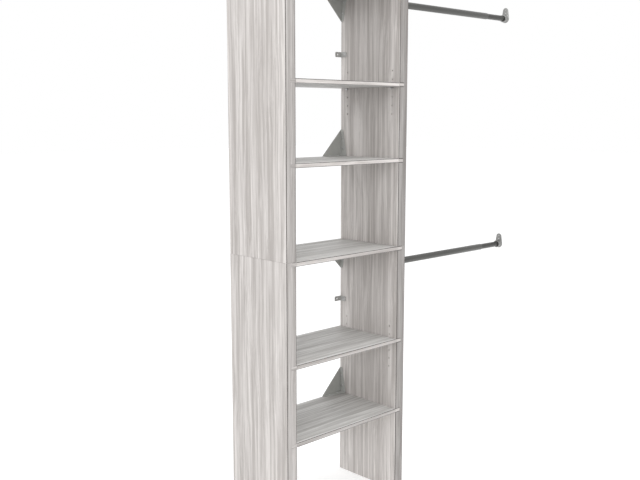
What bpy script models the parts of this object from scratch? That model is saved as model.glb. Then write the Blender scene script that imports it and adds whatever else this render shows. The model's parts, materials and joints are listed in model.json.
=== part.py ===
"""Closet tower of two stacked shelf modules, with two telescoping hanging rods.

Metres, +Z up, +Y towards the back wall, +X along the rods to the side wall.
The origin is on the floor, under the middle of the whole object.
"""

import math

import bmesh
import bpy
from mathutils import Matrix, Vector

# Tower, driving sizes
TOWER_WIDTH = 0.610
TOWER_DEPTH = 0.305
MODULE_HEIGHT = 0.975
PANEL_THICKNESS = 0.045
SHELF_THICKNESS = 0.016
MIDDLE_SHELF_HEIGHT = 0.614         # upper surface above the module's foot
BOTTOM_SHELF_HEIGHT = 0.334         # upper surface above the module's foot
EDGE_ROUND = 0.001

# Clearances
SEAT_GAP = 0.0003                   # between faces that touch
DRAW_PLAY = 0.0015                  # at each end of the loose shelf
SLIDE_GAP = 0.0003                  # between the two tubes of a rod
CUT_OVERRUN = 0.002                 # cutters reach this far past a face
WELD_DISTANCE = 0.00001             # points this near are one

# Shelf pins
PIN_RADIUS = 0.0025
PIN_DEPTH = 0.008
PIN_SHOULDER_RADIUS = 0.0035
PIN_REACH = 0.009
PIN_EASE = 0.0006
PIN_SETBACK = 0.037
PIN_PITCH = 0.032
PIN_HOLES_ABOVE = 2
PIN_HOLES_BELOW = 3

# Cam fittings of the fixed shelves
CAM_RADIUS = 0.0073
CAM_HEIGHT = 0.0125
CAM_BACKSET = 0.024                 # from the shelf's end to the cam's axis
CAM_SETBACK = 0.050                 # from the front and rear edges
BOLT_NECK_RADIUS = 0.0025
BOLT_HEAD_RADIUS = 0.0036
BOLT_HEAD_LENGTH = 0.003
BOLT_DEPTH = 0.011                  # driven into the side panel

# Corner gussets
GUSSET_LEG = 0.105
GUSSET_GAUGE = 0.0015
GUSSET_FOLD = 0.002
GUSSET_CORNER_DEPTH = 0.032
GUSSET_TIP_DEPTH = 0.012
GUSSET_TIP_ROUND = 0.004
GUSSET_SCREW_SHARES = (0.28, 0.68)  # along each leg, from the corner

# Wood screws, for gussets and brackets
SCREW_RADIUS = 0.00175
SCREW_LENGTH = 0.014
SCREW_POINT = 0.003
SCREW_HEAD_RADIUS = 0.0036
SCREW_HEAD_HEIGHT = 0.0022
SCREW_DOME_SHARES = ((0.6, 1.0), (1.0, 0.45))

# Angle brackets to the back wall
BRACKET_RISE_SHARE = 0.479          # strip's middle, from the middle shelf to the top gussets
BRACKET_STRIP = 0.020
BRACKET_GAUGE = 0.002
BRACKET_FOLD = 0.003
BRACKET_WALL_LEG = 0.034
BRACKET_PANEL_LEG = 0.030
BRACKET_END_ROUND = 0.005
BRACKET_HOLE_SHARE = 0.62           # along each leg, from the fold
BRACKET_WALL_HOLE_RADIUS = 0.0027

# Dowels between the modules
DOWEL_RADIUS = 0.004
DOWEL_LENGTH = 0.040
DOWEL_EASE = 0.001
DOWEL_SETBACK = 0.060

# Hanging rods
ROD_REACH = 0.705                   # from the tower's side to the side wall
ROD_SETBACK = 0.055                 # axis behind the tower's front
ROD_DROP = 0.071                    # axis below the module's top
TUBE_RADIUS = 0.0127
TUBE_WALL = 0.0012
OUTER_TUBE_LENGTH = 0.560
INNER_TUBE_LENGTH = 0.560

# Rod end sockets
PLATE_GAUGE = 0.003
PLATE_FOOT_RADIUS = 0.0175
PLATE_HEAD_RADIUS = 0.0125
PLATE_HEAD_RISE = 0.0325            # centre of the plate's round top above the rod's axis
PLATE_EASE = 0.0006
CUP_DEPTH = 0.018
CUP_WALL = 0.0025
CUP_LIP = 0.0008
PLATE_SCREW_RISES = (0.0218, 0.0362)

# Facets around a full turn
SEGMENTS = {"tube": 32, "cup": 28, "cam": 10, "pin": 8, "screw": 6, "hole": 6, "arc": 8}

# Places that follow from the sizes above
LEFT = -(TOWER_WIDTH + ROD_REACH) / 2
RIGHT = LEFT + TOWER_WIDTH
INNER_LEFT = LEFT + PANEL_THICKNESS
INNER_RIGHT = RIGHT - PANEL_THICKNESS
FRONT = -TOWER_DEPTH / 2
REAR = TOWER_DEPTH / 2
SIDE_WALL = RIGHT + ROD_REACH
ROD_Y = FRONT + ROD_SETBACK

# Directions that a corner opens to, seen from the front
SIDES = {"left": 1, "right": -1}
ENDS = {"bottom": 1, "top": -1}

LAMINATE = ((0.62, 0.595, 0.575), 0.55, 0.0)
BRACE_STEEL = ((0.38, 0.385, 0.37), 0.5, 0.0)
ROD_STEEL = ((0.16, 0.16, 0.15), 0.32, 0.9)
ZINC = ((0.55, 0.55, 0.56), 0.4, 0.9)
BEECH = ((0.62, 0.45, 0.27), 0.7, 0.0)


def start_scene():
    """Empties the scene and makes the two collections."""
    for old in list(bpy.data.objects):
        bpy.data.objects.remove(old, do_unlink=True)
    for name in ("closet_system", "cutters"):
        group = bpy.data.collections.new(name)
        bpy.context.scene.collection.children.link(group)


def add_object(name, mesh, finish=None):
    """Puts a mesh in the parts' collection with its finish, or among the cutters without one."""
    piece = bpy.data.objects.new(name, mesh)
    if finish is None:
        bpy.data.collections["cutters"].objects.link(piece)
        piece.hide_render = True
        piece.display_type = "WIRE"
        return piece
    bpy.data.collections["closet_system"].objects.link(piece)
    colour, roughness, metallic = finish
    look = bpy.data.materials.new(name + "_finish")
    look.use_nodes = True
    shader = look.node_tree.nodes["Principled BSDF"]
    shader.inputs["Base Color"].default_value = (*colour, 1)
    shader.inputs["Roughness"].default_value = roughness
    shader.inputs["Metallic"].default_value = metallic
    mesh.materials.append(look)
    return piece


def mesh_from(bm, name):
    """Turns a bmesh into a mesh and frees it."""
    mesh = bpy.data.meshes.new(name)
    bm.to_mesh(mesh)
    bm.free()
    return mesh


def box_bmesh(low, high):
    """A box between two corners."""
    low, high = Vector(low), Vector(high)
    frame = Matrix.Translation((low + high) / 2) @ Matrix.Diagonal((*(high - low), 1))
    bm = bmesh.new()
    bmesh.ops.create_cube(bm, size=1, matrix=frame)
    return bm


def rounded_board(name, low, high, finish):
    """A board whose long edges are eased."""
    board = add_object(name, mesh_from(box_bmesh(low, high), name), finish)
    ease = board.modifiers.new("eased_edges", "BEVEL")
    ease.width = EDGE_ROUND
    ease.segments = 2
    return board


def frame_at(point, direction):
    """A frame at a point, with its Z axis along a direction."""
    turn = Vector(direction).to_track_quat("Z", "Y").to_matrix().to_4x4()
    return Matrix.Translation(Vector(point)) @ turn


def drill(host, name, holes, segments=SEGMENTS["hole"]):
    """Cuts round holes into a piece; a hole is its mouth, its direction, its radius and its depth.

    The radius is that of the facets' middles, so a round piece of that radius passes.
    """
    bm = bmesh.new()
    for mouth, direction, radius, depth in holes:
        corner = radius / math.cos(math.pi / segments)
        middle = Vector(mouth) + Vector(direction) * (depth - CUT_OVERRUN) / 2
        bmesh.ops.create_cone(bm, cap_ends=True, segments=segments, radius1=corner, radius2=corner,
                              depth=depth + CUT_OVERRUN, matrix=frame_at(middle, direction))
    cut(host, add_object(name, mesh_from(bm, name)))


def cut(host, cutter, operation="DIFFERENCE"):
    """Joins a cutter to its host as a Boolean modifier."""
    boolean = host.modifiers.new(cutter.name, "BOOLEAN")
    boolean.operation = operation
    boolean.object = cutter


def turned_object(name, profile, segments, finish=None, closed=False):
    """A body turned about its Z axis; the profile of radii and heights runs down its outer side."""
    mesh = bpy.data.meshes.new(name)
    edges = [(i, i + 1) for i in range(len(profile) - 1)]
    if closed:
        edges.append((len(profile) - 1, 0))
    mesh.from_pydata([(radius, 0, height) for radius, height in profile], edges, [])
    piece = add_object(name, mesh, finish)
    screw = piece.modifiers.new("turned", "SCREW")
    screw.steps = segments
    screw.render_steps = segments
    screw.use_merge_vertices = True
    screw.merge_threshold = WELD_DISTANCE
    return piece


def finished_mesh(piece):
    """The evaluated mesh of a piece, which is then removed."""
    bpy.context.view_layer.update()
    graph = bpy.context.evaluated_depsgraph_get()
    mesh = bpy.data.meshes.new_from_object(piece.evaluated_get(graph))
    bpy.data.objects.remove(piece, do_unlink=True)
    return mesh


def set_into(host, name, pattern, frames):
    """Sets copies of a fastener into the piece that carries them."""
    bm = bmesh.new()
    for frame in frames:
        before = len(bm.verts)
        bm.from_mesh(pattern)
        bm.verts.ensure_lookup_table()
        bmesh.ops.transform(bm, matrix=frame, verts=bm.verts[before:])
    cut(host, add_object(name, mesh_from(bm, name)), "UNION")


def place(name, pattern, frame, finish):
    """One copy of a repeated piece."""
    mesh = pattern.copy()
    mesh.materials.clear()
    piece = add_object(name, mesh, finish)
    piece.matrix_world = frame
    return piece


def mirrored_mesh(pattern, name, along_x, along_z):
    """A copy of a mesh, mirrored where a sign is negative."""
    bm = bmesh.new()
    bm.from_mesh(pattern)
    bmesh.ops.transform(bm, matrix=Matrix.Diagonal((along_x, 1, along_z, 1)), verts=bm.verts)
    if along_x * along_z < 0:
        bmesh.ops.reverse_faces(bm, faces=bm.faces)
    return mesh_from(bm, name)


def fold_sheet(bm, name, fold, gauge):
    """Gives an open sheet of folded faces its bend radius and its thickness, inwards."""
    sheet = add_object(name, mesh_from(bm, name))
    bend = sheet.modifiers.new("bend", "BEVEL")
    bend.width = fold
    bend.segments = 2
    wall = sheet.modifiers.new("gauge", "SOLIDIFY")
    wall.thickness = gauge
    wall.offset = -1
    wall.use_even_offset = True
    return sheet


# Fasteners


def screw_pattern():
    """A pan head wood screw; its head stands on the plane z = 0."""
    profile = [(0, SCREW_HEAD_HEIGHT)]
    for out, up in SCREW_DOME_SHARES:
        profile.append((SCREW_HEAD_RADIUS * out, SCREW_HEAD_HEIGHT * up))
    profile.append((SCREW_HEAD_RADIUS, 0))
    profile.append((SCREW_RADIUS, 0))
    profile.append((SCREW_RADIUS, SCREW_POINT - SCREW_LENGTH))
    profile.append((0, -SCREW_LENGTH))
    return finished_mesh(turned_object("screw_pattern", profile, SEGMENTS["screw"]))


def screw_hole(seat, direction, gauge):
    """The pilot hole of a screw whose head is drawn into the middle of a sheet on the seat."""
    return seat, direction, SCREW_RADIUS + SEAT_GAP, SCREW_LENGTH - gauge / 2


def screw_frame(seat, direction, gauge):
    """Where a screw stands in a sheet that lies on the seat."""
    outward = -Vector(direction)
    return frame_at(Vector(seat) + outward * (SEAT_GAP + gauge / 2), outward)


def pin_pattern():
    """A shelf pin with a shoulder; z = 0 is the panel's face."""
    profile = [(0, PIN_REACH), (PIN_SHOULDER_RADIUS - PIN_EASE, PIN_REACH)]
    profile += [(PIN_SHOULDER_RADIUS, PIN_REACH - PIN_EASE), (PIN_SHOULDER_RADIUS, SEAT_GAP)]
    profile += [(PIN_RADIUS, SEAT_GAP), (PIN_RADIUS, PIN_EASE - PIN_DEPTH)]
    profile += [(PIN_RADIUS - PIN_EASE, -PIN_DEPTH), (0, -PIN_DEPTH)]
    return finished_mesh(turned_object("pin_pattern", profile, SEGMENTS["pin"]))


def fitting_pattern():
    """A cam fitting: the cam's drum from z = 0 upwards, and its bolt along -X into the panel.

    The drum is slotted for the bolt's neck, and grips the bolt's head at its axis.
    """
    profile = [(0, CAM_HEIGHT), (CAM_RADIUS, CAM_HEIGHT), (CAM_RADIUS, 0), (0, 0)]
    drum = turned_object("cam_drum", profile, SEGMENTS["cam"])
    middle = SHELF_THICKNESS / 2
    half = BOLT_NECK_RADIUS + SEAT_GAP
    low = (-CAM_RADIUS - CUT_OVERRUN, -half, middle - half)
    slot = add_object("cam_slot", mesh_from(box_bmesh(low, (0, half, middle + half)), "cam_slot"))
    cut(drum, slot)
    head = BOLT_HEAD_LENGTH / 2
    tip = CAM_BACKSET + BOLT_DEPTH
    profile = [(0, tip), (BOLT_NECK_RADIUS, tip), (BOLT_NECK_RADIUS, head), (BOLT_HEAD_RADIUS, head)]
    profile += [(BOLT_HEAD_RADIUS, -head), (0, -head)]
    bolt = turned_object("cam_bolt", profile, SEGMENTS["screw"])
    bolt.matrix_world = frame_at((0, 0, middle), (-1, 0, 0))
    cut(drum, bolt, "UNION")
    return finished_mesh(drum)


# Corner gussets


def gusset_depth(share):
    """How far a flange reaches forward at a share of the leg."""
    return GUSSET_CORNER_DEPTH + (GUSSET_TIP_DEPTH - GUSSET_CORNER_DEPTH) * share


def gusset_screw_seats():
    """Seats and directions of a gusset's screws, on the panel at x = 0 and on the shelf at z = 0."""
    seats = []
    for share in GUSSET_SCREW_SHARES:
        along = GUSSET_LEG * share
        back = -gusset_depth(share) / 2
        seats.append((Vector((0, back, along)), Vector((-1, 0, 0))))
        seats.append((Vector((along, back, 0)), Vector((0, 0, -1))))
    return seats


def gusset_pattern(screw):
    """A pressed corner brace: a triangular web with a tapered, screwed flange along each leg."""
    leg = GUSSET_LEG
    corner = GUSSET_CORNER_DEPTH
    tip = GUSSET_TIP_DEPTH
    bm = box_bmesh((SEAT_GAP, -corner, SEAT_GAP), (leg, 0, leg))
    open_sides = [f for f in bm.faces if f.normal.x > 0.5 or f.normal.z > 0.5 or f.normal.y < -0.5]
    bmesh.ops.delete(bm, geom=open_sides, context="FACES")
    along_shelf = Vector((leg, corner - tip, 0))
    along_panel = Vector((0, corner - tip, leg))
    taper = along_shelf.cross(along_panel)
    if taper.y > 0:
        taper.negate()
    for point, normal in ((Vector((leg, 0, 0)), Vector((1, 0, 1))), (Vector((0, -corner, 0)), taper)):
        everything = bm.verts[:] + bm.edges[:] + bm.faces[:]
        bmesh.ops.bisect_plane(bm, geom=everything, plane_co=point, plane_no=normal, clear_outer=True)
    tips = [v for v in bm.verts if len(v.link_edges) == 2 and v.co.y < -GUSSET_FOLD]
    tips = [v for v in tips if max(v.co.x, v.co.z) > leg / 2]
    bmesh.ops.bevel(bm, geom=tips, offset=GUSSET_TIP_ROUND, segments=2, profile=0.5, affect="VERTICES")
    brace = fold_sheet(bm, "gusset_sheet", GUSSET_FOLD, GUSSET_GAUGE)
    frames = [screw_frame(seat, direction, GUSSET_GAUGE) for seat, direction in gusset_screw_seats()]
    set_into(brace, "gusset_screws", screw, frames)
    return finished_mesh(brace)


# Angle brackets


def bracket_pattern(screw):
    """An angle bracket: one leg screwed to the panel at x = 0, one with a hole, on the wall at y = 0."""
    half = BRACKET_STRIP / 2
    bm = box_bmesh((SEAT_GAP, -BRACKET_PANEL_LEG, -half), (BRACKET_WALL_LEG, 0, half))
    open_sides = [f for f in bm.faces if f.normal.x < 0.5 and f.normal.x > -0.5 and f.normal.y < 0.5]
    open_sides += [f for f in bm.faces if f.normal.x > 0.5]
    bmesh.ops.delete(bm, geom=open_sides, context="FACES")
    ends = [v for v in bm.verts if len(v.link_edges) == 2]
    bmesh.ops.bevel(bm, geom=ends, offset=BRACKET_END_ROUND, segments=3, profile=0.5, affect="VERTICES")
    angle = fold_sheet(bm, "bracket_sheet", BRACKET_FOLD, BRACKET_GAUGE)
    set_into(angle, "bracket_screw", screw, [screw_frame(*bracket_screw_seat(), BRACKET_GAUGE)])
    mouth = Vector((BRACKET_WALL_LEG * BRACKET_HOLE_SHARE, -BRACKET_GAUGE, 0))
    through = BRACKET_GAUGE + CUT_OVERRUN
    drill(angle, "bracket_hole", [(mouth, Vector((0, 1, 0)), BRACKET_WALL_HOLE_RADIUS, through)])
    return finished_mesh(angle)


def bracket_screw_seat():
    """Seat and direction of the screw that holds the bracket to the panel at x = 0."""
    return Vector((0, -BRACKET_PANEL_LEG * BRACKET_HOLE_SHARE, 0)), Vector((-1, 0, 0))


# Places that pieces share


def place_in_corner(point, corner, along_x, along_z):
    """A point of a corner's own frame, mirrored into the tower."""
    return Vector((corner[0] + point.x * along_x, corner[1] + point.y, corner[2] + point.z * along_z))


def turn_in_corner(direction, along_x, along_z):
    """A direction of a corner's own frame, mirrored into the tower."""
    return Vector((direction.x * along_x, direction.y, direction.z * along_z))


def module_corners(foot):
    """The four gusset corners of a module: name, point and mirror signs."""
    faces = {"top": foot + MODULE_HEIGHT - SHELF_THICKNESS, "bottom": foot + BOTTOM_SHELF_HEIGHT}
    walls = {"left": INNER_LEFT, "right": INNER_RIGHT}
    for end, along_z in ENDS.items():
        for side, along_x in SIDES.items():
            yield f"{end}_{side}", end, side, (walls[side], REAR, faces[end]), along_x, along_z


def fixed_shelf_heights(foot):
    """The upper surfaces of a module's two fixed shelves."""
    return {"top": foot + MODULE_HEIGHT, "bottom": foot + BOTTOM_SHELF_HEIGHT}


def cam_rows():
    """The two lines of cam fittings."""
    return {"front": FRONT + CAM_SETBACK, "rear": REAR - CAM_SETBACK}


def pin_rows():
    """The two columns of pin holes."""
    return {"front": FRONT + PIN_SETBACK, "rear": REAR - PIN_SETBACK}


def dowel_places():
    """Each dowel's side, row and middle, in the panels' middle planes at the seam of the modules."""
    for side, x in (("left", LEFT + PANEL_THICKNESS / 2), ("right", RIGHT - PANEL_THICKNESS / 2)):
        for row, y in (("front", FRONT + DOWEL_SETBACK), ("rear", REAR - DOWEL_SETBACK)):
            yield side, row, Vector((x, y, MODULE_HEIGHT))


def pin_axis_height(foot):
    """The height of the pins that carry the middle shelf."""
    return foot + MIDDLE_SHELF_HEIGHT - SHELF_THICKNESS - SEAT_GAP - PIN_SHOULDER_RADIUS


def bracket_axis_height(foot):
    """The height of a wall bracket's middle, between the middle shelf and the gussets above it."""
    low = foot + MIDDLE_SHELF_HEIGHT
    high = foot + MODULE_HEIGHT - SHELF_THICKNESS - GUSSET_LEG
    return low + (high - low) * BRACKET_RISE_SHARE


def rod_axis_height(foot):
    """The height of a rod's axis."""
    return foot + MODULE_HEIGHT - ROD_DROP


# Boards


def panel_holes(side, foot):
    """All holes in one side panel of a module."""
    inner = INNER_LEFT if side == "left" else INNER_RIGHT
    into = Vector((-SIDES[side], 0, 0))
    holes = []
    for step in range(-PIN_HOLES_BELOW, PIN_HOLES_ABOVE + 1):
        for y in pin_rows().values():
            mouth = Vector((inner, y, pin_axis_height(foot) + step * PIN_PITCH))
            holes.append((mouth, into, PIN_RADIUS + SEAT_GAP, PIN_DEPTH + SEAT_GAP))
    for top in fixed_shelf_heights(foot).values():
        for y in cam_rows().values():
            mouth = Vector((inner, y, top - SHELF_THICKNESS / 2))
            holes.append((mouth, into, BOLT_NECK_RADIUS + SEAT_GAP, BOLT_DEPTH + SEAT_GAP))
    for _, _, where, corner, along_x, along_z in module_corners(foot):
        if where != side:
            continue
        for seat, direction in gusset_screw_seats():
            if abs(direction.x) > 0.5:
                mouth = place_in_corner(seat, corner, along_x, along_z)
                holes.append(screw_hole(mouth, turn_in_corner(direction, along_x, along_z), GUSSET_GAUGE))
    seat, direction = bracket_screw_seat()
    mouth = place_in_corner(seat, (inner, REAR, bracket_axis_height(foot)), SIDES[side], 1)
    holes.append(screw_hole(mouth, turn_in_corner(direction, SIDES[side], 1), BRACKET_GAUGE))
    for where, _, middle in dowel_places():
        if where == side:
            holes.append((middle, Vector((0, 0, 1 if foot else -1)), DOWEL_RADIUS + SEAT_GAP,
                          DOWEL_LENGTH / 2 + SEAT_GAP))
    if side == "right":
        for rise in PLATE_SCREW_RISES:
            mouth = Vector((RIGHT, ROD_Y, rod_axis_height(foot) + rise))
            holes.append(screw_hole(mouth, Vector((-1, 0, 0)), PLATE_GAUGE))
    return holes


def side_panel(level, side, foot):
    """A thick side board with all its bored holes."""
    outer = LEFT if side == "left" else INNER_RIGHT
    low = (outer, FRONT, foot + (SEAT_GAP if foot else 0))
    high = (outer + PANEL_THICKNESS, REAR, foot + MODULE_HEIGHT)
    name = f"{level}_{side}_side_panel"
    board = rounded_board(name, low, high, LAMINATE)
    drill(board, name + "_holes", panel_holes(side, foot))


def fixed_shelf(level, end, foot):
    """A shelf between the panels, with cam pockets below, bolt bores in its ends and screw holes."""
    top = fixed_shelf_heights(foot)[end]
    name = f"{level}_{end}_shelf"
    low = (INNER_LEFT + SEAT_GAP, FRONT, top - SHELF_THICKNESS)
    high = (INNER_RIGHT - SEAT_GAP, REAR, top)
    board = rounded_board(name, low, high, LAMINATE)
    pockets = []
    bores = []
    for side, wall in (("left", INNER_LEFT), ("right", INNER_RIGHT)):
        inward = Vector((SIDES[side], 0, 0))
        for y in cam_rows().values():
            axis = Vector((wall, y, top - SHELF_THICKNESS)) + inward * CAM_BACKSET
            pockets.append((axis, Vector((0, 0, 1)), CAM_RADIUS + SEAT_GAP, CAM_HEIGHT + 2 * SEAT_GAP))
            bores.append((Vector((wall, y, top - SHELF_THICKNESS / 2)), inward, BOLT_HEAD_RADIUS + SEAT_GAP,
                          CAM_BACKSET))
    drill(board, name + "_pockets", pockets, SEGMENTS["cam"])
    drill(board, name + "_bores", bores)
    screws = []
    for _, where, _, corner, along_x, along_z in module_corners(foot):
        if where != end:
            continue
        for seat, direction in gusset_screw_seats():
            if abs(direction.z) > 0.5:
                mouth = place_in_corner(seat, corner, along_x, along_z)
                screws.append(screw_hole(mouth, turn_in_corner(direction, along_x, along_z), GUSSET_GAUGE))
    drill(board, name + "_screw_holes", screws)


def middle_shelf(level, foot):
    """The loose shelf that lies on four pins."""
    top = foot + MIDDLE_SHELF_HEIGHT
    low = (INNER_LEFT + DRAW_PLAY, FRONT, top - SHELF_THICKNESS)
    rounded_board(f"{level}_middle_shelf", low, (INNER_RIGHT - DRAW_PLAY, REAR, top), LAMINATE)


# Hardware of a module


def gussets(level, foot, pattern):
    """The four corner braces of a module."""
    for where, _, _, corner, along_x, along_z in module_corners(foot):
        name = f"{level}_{where}_gusset"
        brace = add_object(name, mirrored_mesh(pattern, name, along_x, along_z), BRACE_STEEL)
        brace.location = corner


def wall_brackets(level, foot, pattern):
    """The two angle brackets of a module."""
    for side, wall in (("left", INNER_LEFT), ("right", INNER_RIGHT)):
        name = f"{level}_{side}_wall_bracket"
        angle = add_object(name, mirrored_mesh(pattern, name, SIDES[side], 1), BRACE_STEEL)
        angle.location = (wall, REAR, bracket_axis_height(foot))


def shelf_pins(level, foot, pattern):
    """The four pins under the middle shelf."""
    for side, wall in (("left", INNER_LEFT), ("right", INNER_RIGHT)):
        for row, y in pin_rows().items():
            frame = frame_at((wall, y, pin_axis_height(foot)), (SIDES[side], 0, 0))
            place(f"{level}_{side}_{row}_shelf_pin", pattern, frame, ZINC)


def cam_fittings(level, foot, pattern):
    """The cam fittings of the fixed shelves, each turned to its panel."""
    for end, top in fixed_shelf_heights(foot).items():
        for side, wall in (("left", INNER_LEFT), ("right", INNER_RIGHT)):
            facing = Matrix.Rotation(0 if side == "left" else math.pi, 4, "Z")
            for row, y in cam_rows().items():
                axis = Vector((wall + SIDES[side] * CAM_BACKSET, y, top - SHELF_THICKNESS))
                name = f"{level}_{end}_{side}_{row}_cam_fitting"
                place(name, pattern, Matrix.Translation(axis) @ facing, ZINC)


def stacking_dowels():
    """The dowels that line the upper module up on the lower one."""
    half = DOWEL_LENGTH / 2
    profile = [(0, half), (DOWEL_RADIUS - DOWEL_EASE, half), (DOWEL_RADIUS, half - DOWEL_EASE)]
    profile += [(DOWEL_RADIUS, DOWEL_EASE - half), (DOWEL_RADIUS - DOWEL_EASE, -half), (0, -half)]
    pattern = finished_mesh(turned_object("dowel_pattern", profile, SEGMENTS["pin"]))
    for side, row, middle in dowel_places():
        place(f"{side}_{row}_stacking_dowel", pattern, Matrix.Translation(middle), BEECH)


# Hanging rods


def tube(name, radius, length, start, height):
    """A round tube along +X with rolled rims."""
    bore = radius - TUBE_WALL
    rim = TUBE_WALL / 4
    profile = [(bore, length), (radius - rim, length), (radius, length - rim), (radius, rim)]
    profile += [(radius - rim, 0), (bore, 0)]
    pipe = turned_object(name, profile, SEGMENTS["tube"], ROD_STEEL, closed=True)
    pipe.rotation_euler = (0, math.pi / 2, 0)
    pipe.location = (start, ROD_Y, height)


def arc(centre_height, radius, first, last, steps):
    """Points of an arc about a centre on the plate's middle line, from one angle to another."""
    points = []
    for i in range(steps + 1):
        angle = first + (last - first) * i / steps
        points.append((radius * math.cos(angle), centre_height + radius * math.sin(angle)))
    return points


def plate_outline():
    """A drop-shaped outline: a round foot about the rod's axis and a smaller round top."""
    lean = math.asin((PLATE_FOOT_RADIUS - PLATE_HEAD_RADIUS) / PLATE_HEAD_RISE)
    steps = SEGMENTS["arc"]
    outline = arc(PLATE_HEAD_RISE, PLATE_HEAD_RADIUS, lean, math.pi - lean, steps)
    outline += arc(0, PLATE_FOOT_RADIUS, math.pi - lean, 2 * math.pi + lean, steps + steps // 2)
    return outline


def flat_plate(name, outline, gauge):
    """A flat outline as a 2D curve, thickened and made a mesh with its face on z = 0."""
    curve = bpy.data.curves.new(name, "CURVE")
    curve.dimensions = "2D"
    curve.fill_mode = "BOTH"
    curve.extrude = gauge / 2
    spline = curve.splines.new("POLY")
    spline.points.add(len(outline) - 1)
    for point, (x, y) in zip(spline.points, outline):
        point.co = (x, y, 0, 1)
    spline.use_cyclic_u = True
    sheet = bpy.data.objects.new(name, curve)
    bpy.data.collections["cutters"].objects.link(sheet)
    mesh = finished_mesh(sheet)
    bpy.data.curves.remove(curve)
    bm = bmesh.new()
    bm.from_mesh(mesh)
    bmesh.ops.remove_doubles(bm, verts=bm.verts, dist=WELD_DISTANCE)
    bmesh.ops.translate(bm, vec=(0, 0, gauge / 2), verts=bm.verts)
    return mesh_from(bm, name)


def socket_pattern(name, tube_radius, screw=None):
    """A rod end socket lying on z = 0: a drop-shaped plate with a round cup for the tube.

    Its fixing places hold the screws that are given, and otherwise stay open holes.
    """
    plate = add_object(name, flat_plate(name, plate_outline(), PLATE_GAUGE))
    ease = plate.modifiers.new("eased_edges", "BEVEL")
    ease.width = PLATE_EASE
    ease.segments = 1
    ease.limit_method = "ANGLE"
    outer = TUBE_RADIUS + SEAT_GAP + CUP_WALL
    rim = PLATE_GAUGE + CUP_DEPTH
    profile = [(0, rim), (outer - CUP_LIP, rim), (outer, rim - CUP_LIP)]
    profile += [(outer, PLATE_GAUGE / 2), (0, PLATE_GAUGE / 2)]
    cut(plate, turned_object(name + "_cup", profile, SEGMENTS["cup"]), "UNION")
    bore = Vector((0, 0, rim)), Vector((0, 0, -1)), tube_radius + SEAT_GAP, CUP_DEPTH
    drill(plate, name + "_bore", [bore], SEGMENTS["cup"])
    down = Vector((0, 0, -1))
    seats = [Vector((0, rise, 0)) for rise in PLATE_SCREW_RISES]
    if screw:
        seats = [seat + down * SEAT_GAP for seat in seats]
        set_into(plate, name + "_screws", screw, [screw_frame(seat, down, PLATE_GAUGE) for seat in seats])
    else:
        top = Vector((0, 0, PLATE_GAUGE))
        holes = [(seat + top, down, SCREW_RADIUS + SEAT_GAP, PLATE_GAUGE + CUT_OVERRUN) for seat in seats]
        drill(plate, name + "_holes", holes)
    return finished_mesh(plate)


def rod_socket(name, pattern, x, height, facing):
    """Stands a socket against a side, its cup towards +X or -X."""
    upright = Matrix(((0, 0, facing, 0), (facing, 0, 0, 0), (0, 1, 0, 0), (0, 0, 0, 1)))
    place(name, pattern, Matrix.Translation((x, ROD_Y, height)) @ upright, ROD_STEEL)


def hanging_rod(level, foot, outer_socket, inner_socket):
    """One telescoping rod with a socket on the tower's side and one on the side wall."""
    height = rod_axis_height(foot)
    inner_radius = TUBE_RADIUS - TUBE_WALL - SLIDE_GAP
    rod_socket(f"{level}_rod_tower_bracket", outer_socket, RIGHT + SEAT_GAP, height, 1)
    rod_socket(f"{level}_rod_wall_bracket", inner_socket, SIDE_WALL, height, -1)
    outer_start = RIGHT + PLATE_GAUGE + 2 * SEAT_GAP
    tube(f"{level}_rod_outer_tube", TUBE_RADIUS, OUTER_TUBE_LENGTH, outer_start, height)
    inner_start = SIDE_WALL - PLATE_GAUGE - SEAT_GAP - INNER_TUBE_LENGTH
    tube(f"{level}_rod_inner_tube", inner_radius, INNER_TUBE_LENGTH, inner_start, height)


def module(level, foot, patterns):
    """One shelf module with its hardware and its hanging rod."""
    for side in SIDES:
        side_panel(level, side, foot)
    for end in ENDS:
        fixed_shelf(level, end, foot)
    middle_shelf(level, foot)
    gussets(level, foot, patterns["gusset"])
    wall_brackets(level, foot, patterns["bracket"])
    shelf_pins(level, foot, patterns["pin"])
    cam_fittings(level, foot, patterns["fitting"])
    hanging_rod(level, foot, patterns["outer_socket"], patterns["inner_socket"])


def main():
    start_scene()
    screw = screw_pattern()
    patterns = {
        "pin": pin_pattern(),
        "fitting": fitting_pattern(),
        "gusset": gusset_pattern(screw),
        "bracket": bracket_pattern(screw),
        "outer_socket": socket_pattern("outer_socket", TUBE_RADIUS, screw),
        "inner_socket": socket_pattern("inner_socket", TUBE_RADIUS - TUBE_WALL - SLIDE_GAP),
    }
    module("lower", 0, patterns)
    module("upper", MODULE_HEIGHT, patterns)
    stacking_dowels()


main()
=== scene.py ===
"""The looks of a closet tower: pale wood grain boards, dark steel braces and satin nickel rods.

Metres, in the frame's axes: +Z up, +Y to the back, +X along the hanging rods.
Every piece keeps its place in its mesh. One whose name ends in finished stands for the solid in its name.
"""

import json
import math

import bmesh
import bpy
from mathutils import Matrix, Vector


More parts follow.
